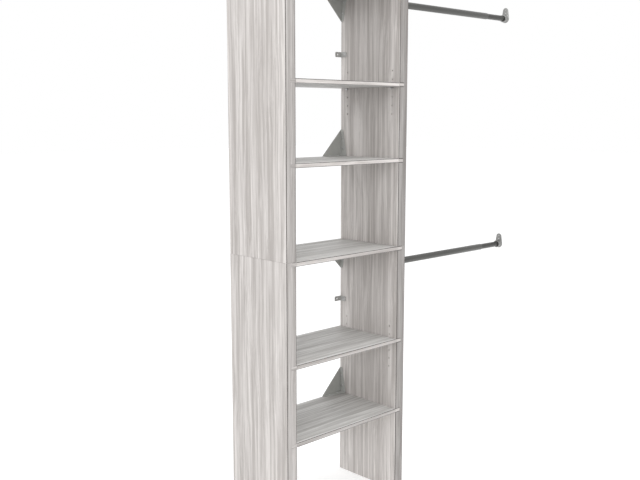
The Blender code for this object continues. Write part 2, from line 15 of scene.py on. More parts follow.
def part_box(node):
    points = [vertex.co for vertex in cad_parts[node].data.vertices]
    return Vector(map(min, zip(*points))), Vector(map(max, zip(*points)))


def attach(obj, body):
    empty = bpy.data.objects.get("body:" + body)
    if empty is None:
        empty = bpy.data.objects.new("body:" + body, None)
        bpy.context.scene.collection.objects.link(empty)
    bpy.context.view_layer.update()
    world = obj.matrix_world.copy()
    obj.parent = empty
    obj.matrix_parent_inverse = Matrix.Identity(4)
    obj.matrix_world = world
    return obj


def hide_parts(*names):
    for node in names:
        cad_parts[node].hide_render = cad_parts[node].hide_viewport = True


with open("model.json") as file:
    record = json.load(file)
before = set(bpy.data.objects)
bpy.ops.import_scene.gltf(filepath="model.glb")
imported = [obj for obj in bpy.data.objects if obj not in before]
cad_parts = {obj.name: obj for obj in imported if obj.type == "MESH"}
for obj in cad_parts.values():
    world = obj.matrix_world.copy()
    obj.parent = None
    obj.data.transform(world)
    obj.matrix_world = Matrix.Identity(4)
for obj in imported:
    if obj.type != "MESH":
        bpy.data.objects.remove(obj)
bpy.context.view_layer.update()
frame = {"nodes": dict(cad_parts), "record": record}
bpy.ops.object.select_all(action="DESELECT")

LEVELS = ("lower", "upper")
ROWS = ("front", "rear")
SHELVES = ("bottom", "middle", "top")
SIDES = {"left": 1, "right": -1}    # the way a side panel's inner face looks along X
ENDS = {"bottom": 1, "top": -1}     # the way the gussets rise from a fixed shelf
SEAT_GAP = 0.0003                   # kept between faces that touch
CUT_OVERRUN = 0.002                 # how far a cutter passes the face that it enters
SAME_PLANE = 1e-5                   # the most that a corner may lie off a plane
LOOKS_ALONG = 0.5                   # a normal that reaches farther than this looks along its axis
SMOOTH_DEGREES = 35                 # sharper edges stay sharp

# Boards
EDGE_ROUND = 0.0007
EDGE_STEPS = 3
BAND_THICKNESS = 0.0009             # the tape on each shelf's front edge
TRIM_THICKNESS = 0.0016             # the trim on each panel's front edge
TRIM_JOINT = 0.0034                 # the dark joint on each side of a trim
TAPE_JOINTS = (0.0018, 0.0026)      # the dark joints below and above a tape
STRIP_ROUND_SHARE = 0.6             # of a tape's or a trim's thickness
INLAY_REACH = 0.025                 # a shelf's front line runs on this far over a panel's trim
INLAY_JOINTS = {"left": 0.0003, "right": 0.0024}    # the dark joints above and below an inlay
INLAY_GAP = 0.0003                  # at an inlay's ends
INLAY_EASE = 0.0005
INLAY_EASE_STEPS = 2
PIN_HOLE_RADIUS = 0.0028
PIN_HOLE_DEPTH = 0.0083
PIN_HOLE_SIDES = 24
PIN_PITCH = 0.032
PIN_STEPS = range(-3, 3)            # three holes below a pin's own and two above it
POCKET_EASE = 0.0003                # round each cam
POCKET_SIDES = 32

# Cams and pins
CAM_RADIUS = 0.0073
CAM_SIDES = 48
CAM_RECESS_DEPTH = 0.0025
CAM_RECESS_REACH = 0.55             # of the cam's radius
CAM_RECESS_HALF = 0.0009            # half its width
BOLT_NECK_RADIUS = 0.0025
BOLT_SIDES = 24
BOLT_GRIP = 0.2                     # how far the bolt passes the cam's axis, in cam radii
PIN_RADIUS = 0.0035
PIN_SIDES = 32
PIN_SHOULDER = 0.28                 # its width on each side of the stem, in pin radii
FITTING_EASE = 0.0006
FITTING_EASE_STEPS = {"shoulder": 3, "stem": 2, "cam": 2}

# Screw heads
HEAD_RADIUS = 0.0036
HEAD_HEIGHT = 0.0022
HEAD_SIDES = 24
HEAD_CROWN = 0.80                   # of the radius
HEAD_ROUND = 0.55                   # of the height
HEAD_ROUND_STEPS = 4
HEAD_SMOOTH_DEGREES = 28
RECESS_DEPTH = 0.0013
RECESS_WIDTH = 0.0009
RECESS_REACH = 0.52                 # of the head's radius

# Pressed steel
GUSSET_GAUGE = 0.0015
GUSSET_DEPTHS = (0.032, 0.012)      # of the flanges, in the corner and at the tips
GUSSET_FOLD = 0.0022
GUSSET_FOLD_STEPS = 4
GUSSET_TIP_ROUND = 0.004
GUSSET_TIP_STEPS = 5
GUSSET_SCREW_SHARES = (0.28, 0.68)  # along each leg
GUSSET_SCREW_TURN = 7               # a screw's own turn, in radians to a whole leg
BRACKET_GAUGE = 0.002
BRACKET_FOLD = 0.003
BRACKET_FOLD_STEPS = 5
BRACKET_END_ROUND = 0.005
BRACKET_END_STEPS = 6
BRACKET_SCREW_SHARE = 0.62          # along each leg
BRACKET_HOLE_RADIUS = 0.0027
BRACKET_HOLE_SIDES = 32
BURR_ROUND = 0.0003
BURR_STEPS = 2
BURR_ANGLE = math.radians(50)

# Rods
TUBE_WALL = 0.0012
TUBE_SIDES = 64
LIP_STEPS = ((0.0, 0.0), (0.0005, 0.00015), (0.0008, 0.0006))   # along the tube, and inwards
PLATE_GAUGE = 0.003
PLATE_FOOT_RADIUS = 0.0175
PLATE_HEAD_RADIUS = 0.0125
PLATE_HEAD_RISE = 0.0325
PLATE_SIDES = 64
PLATE_ROUND = 0.0009
PLATE_ROUND_STEPS = 3
PLATE_SCREW_RISES = (0.0218, 0.0362)
PLATE_HOLE_RADIUS = 0.00205
PLATE_HOLE_SIDES = 32
FLAT_ANGLE = math.radians(0.5)      # faces that meet flatter than this become one
CUP_WALL = 0.0025
CUP_LIP = 0.0008
CUP_LIP_STEPS = 3
CUP_FILLET = 0.0022
CUP_FILLET_STEPS = 4
CUP_SIDES = 64

# Colours, linear
PALE_PRINT = (0.694, 0.662, 0.642)
DARK_PRINT = (0.408, 0.380, 0.363)
PLAIN_TINT = (1, 1, 1)
SHELF_TINT = (0.97, 1.01, 1.02)
# The inlays' tones paint shade and light: darker at the left ends of the shelves' front lines, paler at the
# right ends.
INLAY_PAINTED_SHADES = {"left": 0.86, "right": 1.06}
# The tones paint in light and shade: the right panels are painted paler, the panels' front trims darker (the
# right ones most), and the shelves' front tapes paler in the upper module and darker towards the bottom.
BOARD_PRINTS_AND_PAINTED_SHADE = {                    # where the print begins on the board and on its front, and their tones, which carry painted light and shade
    "lower_left_side_panel": (56, 23.5, 0.965, 0.83),
    "lower_right_side_panel": (24, 24.5, 1.08, 0.625),
    "lower_bottom_shelf": (58, 58.5, 1.0, 0.80),
    "lower_middle_shelf": (71, 71.5, 0.99, 0.97),
    "lower_top_shelf": (48, 48.5, 1.02, 1.08),
    "upper_left_side_panel": (50, 50.5, 1.015, 0.805),
    "upper_right_side_panel": (7, 95.5, 1.04, 0.62),
    "upper_bottom_shelf": (8, 8.5, 1.01, 1.24),
    "upper_middle_shelf": (10, 10.5, 1.0, 1.18),
    "upper_top_shelf": (9, 9.5, 1.0, 1.18),
}
BRACE_GREY = (0.402, 0.407, 0.389)
BRACKET_GREY = (0.42, 0.42, 0.41)
ROD_GREYS = {"outer": (0.116, 0.116, 0.112), "inner": (0.080, 0.080, 0.077)}
SOCKET_GREY = (0.29, 0.29, 0.283)
CORE_BROWN = (0.050, 0.045, 0.041)
ZINC_GREY = (0.55, 0.55, 0.56)
BEECH = (0.55, 0.36, 0.19)

# Wood print
PRINT_STEP = (0.731, 1.173, 0.417)  # how far a start of one moves the pattern
PRINT_OFFSET = 0.25                 # from a panel's own start to that of its ends and inlays
GRAIN_NOISES = {                    # length along the grain, width across it, detail and roughness
    "sway": (0.42, 0.09, 1.0, 0.5),
    "bands": (0.95, 0.026, 2.0, 0.5),
    "streaks": (0.50, 0.0090, 3.0, 0.62),
    "fibres": (0.070, 0.0013, 2.0, 0.6),
    "pores": (0.016, 0.0011, 1.0, 0.5),
    "patches": (0.30, 0.045, 1.0, 0.5),
}
GRAIN_DEPTHS = {                    # the noise where each begins and is full, and its share of the print
    "bands": (0.32, 0.68, 0.50),
    "streaks": (0.32, 0.68, 0.62),
    "fibres": (0.30, 0.70, 0.28),
}
GRAIN_SWAY = 0.030                  # the width that the grain sways across
PORE_SPAN = (0.66, 0.74)
PORE_DEPTH = 0.35
PATCH_SPAN = (0.45, 0.65)           # where pores gather
PATCH_SHIFT = (3, 5, 7)
PRINT_STOPS = (0.28, 1.0)           # the depths of the pale and the dark print
PRINT_ROUGHNESS = (0.2, 1.1, 0.46, 0.62)    # from these depths to these values
FIBRE_RELIEF = 0.4                  # beside the pores, which count whole

# Metal, core and beech
NOISE_SPAN = (0.3, 0.7)             # holds most of a noise's values
COAT_ROUGHNESS = (0.42, 0.56)
COAT_SHADES = (0.96, 1.04)
BRUSHED_LINES = (0.09, 0.00035, 3.0, 0.6)   # as in the table of grain noises
BRUSHED_CLOUDS = (0.15, 0.02, 2.0, 0.5)
CLOUD_SHARE = 0.5
BRUSHED_SPAN = (0.45, 1.0)
BRUSHED_SHADES = (0.86, 1.14)
BRUSHED_ROUGHNESS = (-0.05, 0.08)   # added to the metal's own
METAL_ROUGHNESS = {"rod": 0.32, "socket": 0.36, "zinc": 0.34}
CHIP_SHADES = (0.7, 1.4)
FLECK_NOISE = (0.008, 0.0006, 2.0, 0.5)
FLECK_STOPS = (0.35, 0.6)
FLECK_SHADES = (0.7, 1.0)

# Light
SKY_LEVEL = 0.89
FLOOR_SIZE = 60
FLOOR_WHITE = 0.86
FLOOR_GLOW = 0.32                   # as seen
BOUNCE_GLOW = 0.18                  # as thrown back near the object
FLOOR_FAR = 0.64                    # its white for bounced light, away from the object
BOUNCE_REACH = (0.5, 2.2)           # where the bounced light begins to fade, and where it is least
LAMPS = {                           # place, target, size and power
    "side_lamp": ((-5.5, 0.3, 3.6), (-0.6, 0, 1.4), 3.5, 82),
    "rod_lamp": ((0.35, -0.9, 3.7), (0.3, -0.1, 1.2), 1.5, 25),
    "front_lamp": ((-3.3, -3.5, 3.3), (-0.3, 0, 1.0), 3.0, 58),
}

# Camera, in tower widths from the tower's front left edge at the seam of the modules
CAMERA_OFFSET_SHARES = (-3.1005, -3.4854, 0.8016)
CAMERA_TURN = math.radians(-43.91)
CAMERA_TILT = math.radians(90 - 8.17)
CAMERA_LENS = 48.40

body_of = {}
for body, nodes in frame["record"]["behaviour"]["bodies"].items():
    for node in nodes:
        body_of[node] = body


# Working as by hand


def only(piece):
    """Makes one piece the selected and active one."""
    bpy.ops.object.select_all(action="DESELECT")
    piece.select_set(True)
    bpy.context.view_layer.objects.active = piece


def edit(piece):
    """Opens one piece in edit mode, with nothing selected."""
    only(piece)
    bpy.ops.object.mode_set(mode="EDIT")
    bpy.ops.mesh.select_all(action="DESELECT")


def leave_edit():
    bpy.ops.object.mode_set(mode="OBJECT")


def choose(kind, wanted):
    """In edit mode, selects the FACE, EDGE or VERT parts that a test accepts, and nothing else."""
    bpy.ops.mesh.select_mode(type=kind)
    bpy.ops.mesh.select_all(action="DESELECT")
    mesh = bpy.context.edit_object.data
    cage = bmesh.from_edit_mesh(mesh)
    for part in {"FACE": cage.faces, "EDGE": cage.edges, "VERT": cage.verts}[kind]:
        if wanted(part):
            part.select_set(True)
    cage.select_flush_mode()
    bmesh.update_edit_mesh(mesh)


def at_rim(part, axis, value):
    """Whether a part lies wholly in a plane across one axis."""
    return all(abs(corner.co[axis] - value) < SAME_PLANE for corner in part.verts)


def round_edges(wanted, offset, segments):
    """In edit mode, rounds the edges that a test accepts."""
    choose("EDGE", wanted)
    bpy.ops.mesh.bevel(offset=offset, segments=segments)


def round_corners(wanted, offset, segments):
    """In edit mode, rounds the corners of a sheet that a test accepts."""
    choose("VERT", wanted)
    bpy.ops.mesh.bevel(offset=offset, segments=segments, affect="VERTICES")


def extrude_along(axis, reach):
    """In edit mode, draws the selected faces out along one axis."""
    move = Vector()
    move[axis] = reach
    bpy.ops.mesh.extrude_region_move(TRANSFORM_OT_translate={"value": move})


def apply_modifier(piece, kind, **settings):
    """Adds a modifier with its settings and applies it."""
    only(piece)
    bpy.ops.object.modifier_add(type=kind)
    modifier = piece.modifiers[-1]
    for key, value in settings.items():
        setattr(modifier, key, value)
    bpy.ops.object.modifier_apply(modifier=modifier.name)


def thicken(piece, gauge):
    """Gives a sheet its gauge, on the inner side."""
    apply_modifier(piece, "SOLIDIFY", thickness=gauge, offset=-1, use_even_offset=True)


def ease_burrs(piece):
    """Rounds the cut edges of a pressed piece a little."""
    apply_modifier(piece, "BEVEL", width=BURR_ROUND, segments=BURR_STEPS, limit_method="ANGLE",
                   angle_limit=BURR_ANGLE)


def box_piece(low, high):
    """A box between two corners, its place in its mesh."""
    low, high = Vector(low), Vector(high)
    bpy.ops.mesh.primitive_cube_add(size=1, location=(low + high) / 2, scale=high - low)
    bpy.ops.object.transform_apply(location=True, rotation=True, scale=True)
    return bpy.context.object


def rod_piece(point, direction, radius, depth, sides, fill="NGON"):
    """A cylinder that starts at a point and runs along a direction, its place in its mesh."""
    direction = Vector(direction).normalized()
    bpy.ops.mesh.primitive_cylinder_add(vertices=sides, radius=radius, depth=depth, end_fill_type=fill,
                                        location=Vector(point) + direction * depth / 2,
                                        rotation=direction.to_track_quat("Z", "Y").to_euler())
    bpy.ops.object.transform_apply(location=True, rotation=True, scale=True)
    return bpy.context.object


def joined(pieces):
    """Several pieces as one object."""
    only(pieces[0])
    for piece in pieces[1:]:
        piece.select_set(True)
    bpy.ops.object.join()
    return bpy.context.object


def carve(piece, cutter, operation="DIFFERENCE"):
    """Cuts a piece with another, or joins the two, and removes the other."""
    apply_modifier(piece, "BOOLEAN", object=cutter, operation=operation, solver="EXACT")
    bpy.data.objects.remove(cutter, do_unlink=True)


def carve_cross(piece, reach, half, low, high):
    """Cuts a cross recess round the Z axis, between two heights."""
    carve(piece, box_piece((-reach, -half, low), (reach, half, high)))
    carve(piece, box_piece((-half, -reach, low), (half, reach, high)))


def turn_to(direction):
    """The turn that takes +Z to a direction."""
    return Vector(direction).to_track_quat("Z", "Y").to_matrix().to_4x4()


def copy_to(piece, matrix):
    """A copy with its own mesh, moved or mirrored into place."""
    only(piece)
    bpy.ops.object.duplicate(linked=False)
    copy = bpy.context.object
    copy.matrix_world = matrix
    bpy.ops.object.transform_apply(location=True, rotation=True, scale=True)
    if matrix.determinant() < 0:
        edit(copy)
        bpy.ops.mesh.select_all(action="SELECT")
        bpy.ops.mesh.normals_make_consistent(inside=False)
        leave_edit()
    return copy


def smooth(piece, degrees=SMOOTH_DEGREES):
    """Shades a piece smooth, apart from its sharp edges."""
    only(piece)
    bpy.ops.object.shade_smooth_by_angle(angle=math.radians(degrees))


def discard(*patterns):
    """Removes the pieces that only served to be copied."""
    for pattern in patterns:
        bpy.data.objects.remove(pattern)


def dress(piece, name, finish, body):
    """Names a piece, gives it its finish and lets it ride on a body."""
    piece.name = name
    piece.data.name = name
    piece.data.materials.clear()
    piece.data.materials.append(finish)
    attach(piece, body)


def dress_screws(piece, node, ending):
    """Finishes the screws of a fitting, which ride with it."""
    dress(piece, node + ending, zinc_plate, body_of[node])


def paint_faces(piece, finish, wanted):
    """Gives the faces that a test accepts a finish of their own."""
    piece.data.materials.append(finish)
    edit(piece)
    choose("FACE", wanted)
    piece.active_material_index = len(piece.data.materials) - 1
    bpy.ops.object.material_slot_assign()
    leave_edit()


def stand_for(piece, node, finish):
    """Puts a finished piece in its solid's place."""
    dress(piece, node + "_finished", finish, body_of[node])
    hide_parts(node)


# Places on the solids


def inner_face(level, side):
    """The X of the face that a side panel turns to the shelves."""
    low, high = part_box(f"{level}_{side}_side_panel")
    return high.x if side == "left" else low.x


def middle_line(node):
    """The Y and Z of a solid's middle."""
    low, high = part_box(node)
    return (low.y + high.y) / 2, (low.z + high.z) / 2


def cam_axis(node, side):
    """The X and Y of a cam's axis; its bolt runs on from it to the panel of that side."""
    low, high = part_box(node)
    return high.x - CAM_RADIUS if side == "left" else low.x + CAM_RADIUS, (low.y + high.y) / 2


def tube_radius(node):
    low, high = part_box(node)
    return (high.z - low.z) / 2


# Finishes


def shader_node(tree, kind, inputs=(), **settings):
    """Adds a node, sets its properties and fills its inputs with values or links."""
    made = tree.nodes.new(kind)
    for key, value in settings.items():
        setattr(made, key, value)
    for key, value in dict(inputs).items():
        if isinstance(value, bpy.types.NodeSocket):
            tree.links.new(value, made.inputs[key])
        else:
            made.inputs[key].default_value = value
    return made


def new_finish(name, **sockets):
    """A material and its Principled shader, with its fixed values set on the shader."""
    finish = bpy.data.materials.new(name)
    finish.use_nodes = True
    shader = finish.node_tree.nodes["Principled BSDF"]
    for key, value in sockets.items():
        shader.inputs[key.replace("_", " ")].default_value = value
    return finish, finish.node_tree, shader


def object_coordinates(tree):
    return tree.nodes.new("ShaderNodeTexCoord").outputs["Object"]


def math_node(tree, operation, first, second, third=0.0, clamp=False):
    """One sum on two or three values."""
    made = shader_node(tree, "ShaderNodeMath", {0: first, 1: second, 2: third}, operation=operation)
    made.use_clamp = clamp
    return made.outputs[0]


def even_noise(tree, place, scale, detail):
    """Noise with as many features to a metre, each way, as its scale says."""
    noise = shader_node(tree, "ShaderNodeTexNoise", {"Vector": place, "Scale": scale, "Detail": detail})
    return noise.outputs["Fac"]


def stretched_noise(tree, place, grain, along, across, detail, roughness, shift=(0, 0, 0)):
    """Noise whose features are long along the grain and narrow across it, both in metres."""
    scale = [1 / across] * 3
    scale["XYZ".index(grain)] = 1 / along
    mapped = shader_node(tree, "ShaderNodeMapping", {"Vector": place, "Location": shift, "Scale": scale})
    noise = shader_node(tree, "ShaderNodeTexNoise", {
        "Vector": mapped.outputs[0], "Scale": 1.0, "Detail": detail, "Roughness": roughness})
    return noise.outputs["Fac"]


def spread(tree, value, low, high, to_low=0.0, to_high=1.0):
    """Maps a value from one range to another, without passing its ends."""
    made = shader_node(tree, "ShaderNodeMapRange", {
        "Value": value, "From Min": low, "From Max": high, "To Min": to_low, "To Max": to_high})
    return made.outputs[0]


def shaded(colour, shades):
    """A colour in a darker and a paler shade."""
    return [[value * shade for value in colour] for shade in shades]


def colour_by(tree, shader, value, stops, colours):
    """Colours a finish by a value, from one colour at the first stop to the other at the second."""
    ramp = shader_node(tree, "ShaderNodeValToRGB", {"Fac": value})
    for element, stop, colour in zip(ramp.color_ramp.elements, stops, colours):
        element.position = stop
        element.color = (*colour, 1)
    tree.links.new(ramp.outputs["Color"], shader.inputs["Base Color"])


def raise_by(tree, shader, height, strength, distance, sink=False):
    """Raises the surface of a finish where a value is high, or sinks it there."""
    bump = shader_node(tree, "ShaderNodeBump", {"Height": height, "Strength": strength, "Distance": distance})
    bump.invert = sink
    tree.links.new(bump.outputs[0], shader.inputs["Normal"])


def wood_print(name, grain, start, tone, tint=PLAIN_TINT):
    """Printed wood grain in pale grey: soft bands, streaks, fibre lines and short pores.

    The start moves the pattern, so that no two boards are alike; the tone is the print's brightness, which
    also holds painted light and shade where boards, strips and inlays differ.
    """
    finish, tree, shader = new_finish(name, IOR=1.5, Coat_Weight=0.04, Coat_Roughness=0.35)
    moved = shader_node(tree, "ShaderNodeMapping", {
        "Vector": object_coordinates(tree), "Location": [start * step for step in PRINT_STEP]})
    place = moved.outputs[0]
    sway = stretched_noise(tree, place, grain, *GRAIN_NOISES["sway"])
    sway = math_node(tree, "MULTIPLY_ADD", sway, GRAIN_SWAY, -GRAIN_SWAY / 2)
    waved = shader_node(tree, "ShaderNodeVectorMath", {0: place, 1: sway}, operation="ADD").outputs[0]
    noises = {layer: stretched_noise(tree, waved, grain, *GRAIN_NOISES[layer])
              for layer in ("bands", "streaks", "fibres", "pores")}
    depth = 0.0
    for layer, (begins, full, share) in GRAIN_DEPTHS.items():
        depth = math_node(tree, "MULTIPLY_ADD", spread(tree, noises[layer], begins, full), share, depth)
    patches = stretched_noise(tree, place, grain, *GRAIN_NOISES["patches"], shift=PATCH_SHIFT)
    pores = math_node(tree, "MULTIPLY", spread(tree, noises["pores"], *PORE_SPAN),
                      spread(tree, patches, *PATCH_SPAN))
    depth = math_node(tree, "MULTIPLY_ADD", pores, PORE_DEPTH, depth)
    # The tone makes the print darker or paler from board to board: painted shade and painted light.
    colours = [[value * tone * share for value, share in zip(colour, tint)]
               for colour in (PALE_PRINT, DARK_PRINT)]
    colour_by(tree, shader, depth, PRINT_STOPS, colours)
    tree.links.new(spread(tree, depth, *PRINT_ROUGHNESS), shader.inputs["Roughness"])
    relief = math_node(tree, "MULTIPLY_ADD", noises["fibres"], FIBRE_RELIEF, pores)
    raise_by(tree, shader, relief, strength=0.25, distance=0.0002, sink=True)
    return finish


def powder_coat(name, colour):
    """Powder coat on steel: fine orange peel, and slight cloudiness."""
    finish, tree, shader = new_finish(name, IOR=1.5)
    place = object_coordinates(tree)
    clouds = even_noise(tree, place, scale=60.0, detail=3.0)
    colour_by(tree, shader, clouds, NOISE_SPAN, shaded(colour, COAT_SHADES))
    peel = even_noise(tree, place, scale=1400.0, detail=2.0)
    tree.links.new(spread(tree, peel, *NOISE_SPAN, *COAT_ROUGHNESS), shader.inputs["Roughness"])
    raise_by(tree, shader, peel, strength=0.35, distance=0.00015)
    return finish


def satin_metal(name, colour, kind, grain):
    """Brushed and plated metal, its fine lines along one axis."""
    finish, tree, shader = new_finish(name, Metallic=1.0)
    place = object_coordinates(tree)
    lines = stretched_noise(tree, place, grain, *BRUSHED_LINES)
    clouds = stretched_noise(tree, place, grain, *BRUSHED_CLOUDS)
    mixed = math_node(tree, "MULTIPLY_ADD", clouds, CLOUD_SHARE, lines)
    colour_by(tree, shader, mixed, BRUSHED_SPAN, shaded(colour, BRUSHED_SHADES))
    rough_span = [METAL_ROUGHNESS[kind] + change for change in BRUSHED_ROUGHNESS]
    tree.links.new(spread(tree, mixed, *BRUSHED_SPAN, *rough_span), shader.inputs["Roughness"])
    raise_by(tree, shader, lines, strength=0.12, distance=0.00008)
    return finish


def particle_core(name):
    """Dark resin-bound chips, as a board shows where it has no laminate."""
    finish, tree, shader = new_finish(name, Roughness=0.8)
    chips = shader_node(tree, "ShaderNodeTexVoronoi", {"Vector": object_coordinates(tree), "Scale": 900.0})
    colour_by(tree, shader, chips.outputs["Distance"], (0.0, 1.0), shaded(CORE_BROWN, CHIP_SHADES))
    return finish


def raw_beech(name):
    """Turned beech with short flecks along the dowel."""
    finish, tree, shader = new_finish(name, Roughness=0.7)
    flecks = stretched_noise(tree, object_coordinates(tree), "Z", *FLECK_NOISE)
    colour_by(tree, shader, flecks, FLECK_STOPS, shaded(BEECH, FLECK_SHADES))
    return finish


brace_coat = powder_coat("brace_coat", BRACE_GREY)
bracket_coat = powder_coat("bracket_coat", BRACKET_GREY)
rod_plates = {tube: satin_metal(tube + "_tube_plate", grey, "rod", "X") for tube, grey in ROD_GREYS.items()}
socket_plate = satin_metal("socket_plate", SOCKET_GREY, "socket", "Z")
zinc_plate = satin_metal("zinc_plate", ZINC_GREY, "zinc", "Z")
beech = raw_beech("beech")
core = particle_core("board_core")


# Boards


def board_with_front(node, grain, tint, side_joint=0.0, rim_joints=(0.0, 0.0)):
    """A laminated board with eased edges and a front strip of its own.

    The joints leave a groove beside the strip, or below and above it, where the board's dark core shows.
    """
    low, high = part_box(node)
    # The board's and the strip's tones hold painted light and shade as well as the print's brightness.
    board_start, strip_start, board_painted_shade, strip_painted_shade = BOARD_PRINTS_AND_PAINTED_SHADE[node]
    thickness = TRIM_THICKNESS if side_joint else BAND_THICKNESS
    seam = low.y + thickness
    board = box_piece((low.x, seam, low.z), high)
    edit(board)
    round_edges(lambda edge: True, EDGE_ROUND, EDGE_STEPS)
    leave_edit()
    stand_for(board, node, wood_print(node + "_print", grain, board_start, board_painted_shade, tint))
    strip = box_piece((low.x + side_joint, low.y, low.z + rim_joints[0]),
                      (high.x - side_joint, seam + EDGE_ROUND, high.z - rim_joints[1]))
    edit(strip)
    round_edges(lambda edge: at_rim(edge, 1, low.y), thickness * STRIP_ROUND_SHARE, EDGE_STEPS)
    leave_edit()
    smooth(strip)
    strip_print = wood_print(node + "_front_print", grain, strip_start, strip_painted_shade)
    dress(strip, node + "_front_strip", strip_print, body_of[node])
    paint_faces(board, core, lambda face: at_rim(face, 1, seam))
    if side_joint:
        end_print = wood_print(node + "_end_print", "Y", board_start + PRINT_OFFSET, board_painted_shade)
        paint_faces(board, end_print, lambda face: at_rim(face, 2, low.z) or at_rim(face, 2, high.z))
    return board, strip


def panel_with_trim(node):
    return board_with_front(node, "Z", PLAIN_TINT, side_joint=TRIM_JOINT)


def shelf_with_tape(node):
    return board_with_front(node, "X", SHELF_TINT, rim_joints=TAPE_JOINTS)[0]


def pin_holes(level, side):
    """Cutters for both columns of shelf pin holes in one panel."""
    outward = Vector((SIDES[side], 0, 0))
    cutters = []
    for row in ROWS:
        y, z = middle_line(f"{level}_{side}_{row}_shelf_pin")
        for step in PIN_STEPS:
            bottom = Vector((inner_face(level, side), y, z + step * PIN_PITCH)) - outward * PIN_HOLE_DEPTH
            cutters.append(rod_piece(bottom, outward, PIN_HOLE_RADIUS, PIN_HOLE_DEPTH + CUT_OVERRUN,
                                     PIN_HOLE_SIDES))
    return joined(cutters)


def cam_pockets(level, end):
    """Cutters for the cams' pockets in the underside of a fixed shelf."""
    cutters = []
    for side in SIDES:
        for row in ROWS:
            node = f"{level}_{end}_{side}_{row}_cam_fitting"
            low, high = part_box(node)
            mouth = (*cam_axis(node, side), low.z - CUT_OVERRUN)
            depth = high.z - low.z + POCKET_EASE + CUT_OVERRUN
            cutters.append(rod_piece(mouth, (0, 0, 1), CAM_RADIUS + POCKET_EASE, depth, POCKET_SIDES))
    return joined(cutters)


def let_in_fronts(level, side, strip):
    """Short strips that carry on the shelves' front lines, let in flush with a panel's trim."""
    panel = f"{level}_{side}_side_panel"
    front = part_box(panel)[0].y
    inner = inner_face(level, side)
    ends = sorted((inner, inner - SIDES[side] * INLAY_REACH))
    # The inlay's tone is painted shade on the left panels and painted light on the right ones.
    finish = wood_print(panel + "_inlay_print", "X", BOARD_PRINTS_AND_PAINTED_SHADE[panel][0] + PRINT_OFFSET, INLAY_PAINTED_SHADES[side])
    for shelf in SHELVES:
        shelf_low, shelf_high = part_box(f"{level}_{shelf}_shelf")
        low = Vector((ends[0], front, shelf_low.z + TAPE_JOINTS[0]))
        high = Vector((ends[1], front + TRIM_THICKNESS, shelf_high.z - TAPE_JOINTS[1]))
        room = Vector((INLAY_GAP, CUT_OVERRUN, INLAY_JOINTS[side]))
        carve(strip, box_piece(low - room, high + room))
        inlay = box_piece(low, high)
        edit(inlay)
        round_edges(lambda edge: at_rim(edge, 1, low.y), INLAY_EASE, INLAY_EASE_STEPS)
        leave_edit()
        smooth(inlay)
        dress(inlay, f"{panel}_{shelf}_inlay", finish, body_of[panel])
    smooth(strip)


def make_boards():
    for level in LEVELS:
        for side in SIDES:
            board, strip = panel_with_trim(f"{level}_{side}_side_panel")
            let_in_fronts(level, side, strip)
            carve(board, pin_holes(level, side))
            smooth(board)
        for end in ENDS:
            board = shelf_with_tape(f"{level}_{end}_shelf")
            carve(board, cam_pockets(level, end))
            smooth(board)
        smooth(shelf_with_tape(f"{level}_middle_shelf"))


# Small fittings


def screw_head():
    """A pan head with a cross recess, standing on z = 0 and looking along +Z."""
    head = rod_piece((0, 0, 0), (0, 0, 1), HEAD_RADIUS, HEAD_HEIGHT, HEAD_SIDES)
    edit(head)
    choose("FACE", lambda face: at_rim(face, 2, HEAD_HEIGHT))
    bpy.ops.transform.resize(value=(HEAD_CROWN, HEAD_CROWN, 1), center_override=(0, 0, HEAD_HEIGHT))
    round_edges(lambda edge: at_rim(edge, 2, HEAD_HEIGHT), HEAD_HEIGHT * HEAD_ROUND, HEAD_ROUND_STEPS)
    leave_edit()
    carve_cross(head, HEAD_RADIUS * RECESS_REACH, RECESS_WIDTH / 2, HEAD_HEIGHT - RECESS_DEPTH,
                HEAD_HEIGHT + CUT_OVERRUN)
    smooth(head, HEAD_SMOOTH_DEGREES)
    return head


def shelf_pin():
    """A pin with a rounded shoulder, its seat on z = 0 and its shoulder along +Z."""
    low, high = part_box("lower_left_front_shelf_pin")
    inner = inner_face("lower", "left")
    pin = rod_piece((0, 0, SEAT_GAP), (0, 0, 1), PIN_RADIUS, high.x - inner - SEAT_GAP, PIN_SIDES)
    edit(pin)
    round_edges(lambda edge: at_rim(edge, 2, high.x - inner), FITTING_EASE, FITTING_EASE_STEPS["shoulder"])
    choose("FACE", lambda face: at_rim(face, 2, SEAT_GAP))
    bpy.ops.mesh.inset(thickness=PIN_RADIUS * PIN_SHOULDER)
    extrude_along(2, low.x - inner - SEAT_GAP)
    round_edges(lambda edge: at_rim(edge, 2, low.x - inner), FITTING_EASE, FITTING_EASE_STEPS["stem"])
    leave_edit()
    smooth(pin)
    return pin


def cam_fitting():
    """A cam, open on its -X side for the bolt that runs to the panel, standing on z = 0."""
    node = "lower_bottom_left_front_cam_fitting"
    low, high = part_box(node)
    shelf_low, shelf_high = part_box("lower_bottom_shelf")
    bolt_height = (shelf_high.z - shelf_low.z) / 2
    drum = rod_piece((0, 0, 0), (0, 0, 1), CAM_RADIUS, high.z - low.z, CAM_SIDES)
    edit(drum)
    round_edges(lambda edge: at_rim(edge, 2, 0), FITTING_EASE, FITTING_EASE_STEPS["cam"])
    leave_edit()
    half = BOLT_NECK_RADIUS + SEAT_GAP
    carve(drum, box_piece((-2 * CAM_RADIUS, -half, bolt_height - half), (0, half, bolt_height + half)))
    carve_cross(drum, CAM_RADIUS * CAM_RECESS_REACH, CAM_RECESS_HALF, -CUT_OVERRUN, CAM_RECESS_DEPTH)
    grip = CAM_RADIUS * BOLT_GRIP
    length = cam_axis(node, "left")[0] - low.x + grip
    bolt = rod_piece((grip, 0, bolt_height), (-1, 0, 0), BOLT_NECK_RADIUS, length, BOLT_SIDES)
    carve(drum, bolt, "UNION")
    smooth(drum)
    return drum


